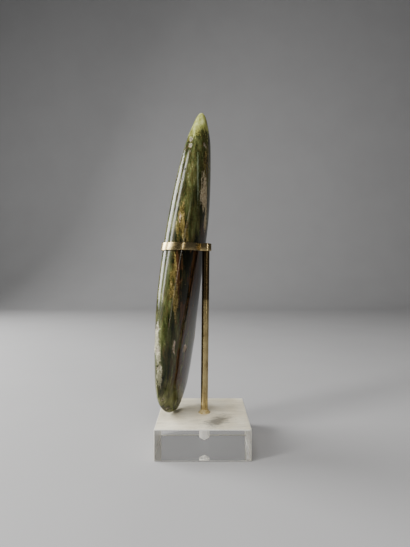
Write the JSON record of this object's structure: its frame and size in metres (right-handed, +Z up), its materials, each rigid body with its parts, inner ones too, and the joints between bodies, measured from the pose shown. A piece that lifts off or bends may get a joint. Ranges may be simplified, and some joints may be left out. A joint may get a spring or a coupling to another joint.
{
  "type": "jadeite axe head on display stand",
  "caption": "Long polished jadeite axe head, pointed butt up, upright in a brass band on a thin brass rod set in a clear acrylic block.",
  "frame": {"origin": "middle of the acrylic block's underside, where the stand rests", "axes": "+Z up, along the object's length from the block to the axe head's butt; +X to the viewer's right; +Y to the back"},
  "size_m": [0.0615, 0.06, 0.2276],
  "materials": {
    "jade": "gloss",
    "brass_band": "satin",
    "brass_rod": "satin",
    "acrylic": "gloss"
  },
  "bodies": {
    "root": {"axe_head": "jade", "clip_band": "brass_band", "rod": "brass_rod", "base_block": "acrylic"}
  },
  "joints": []
}
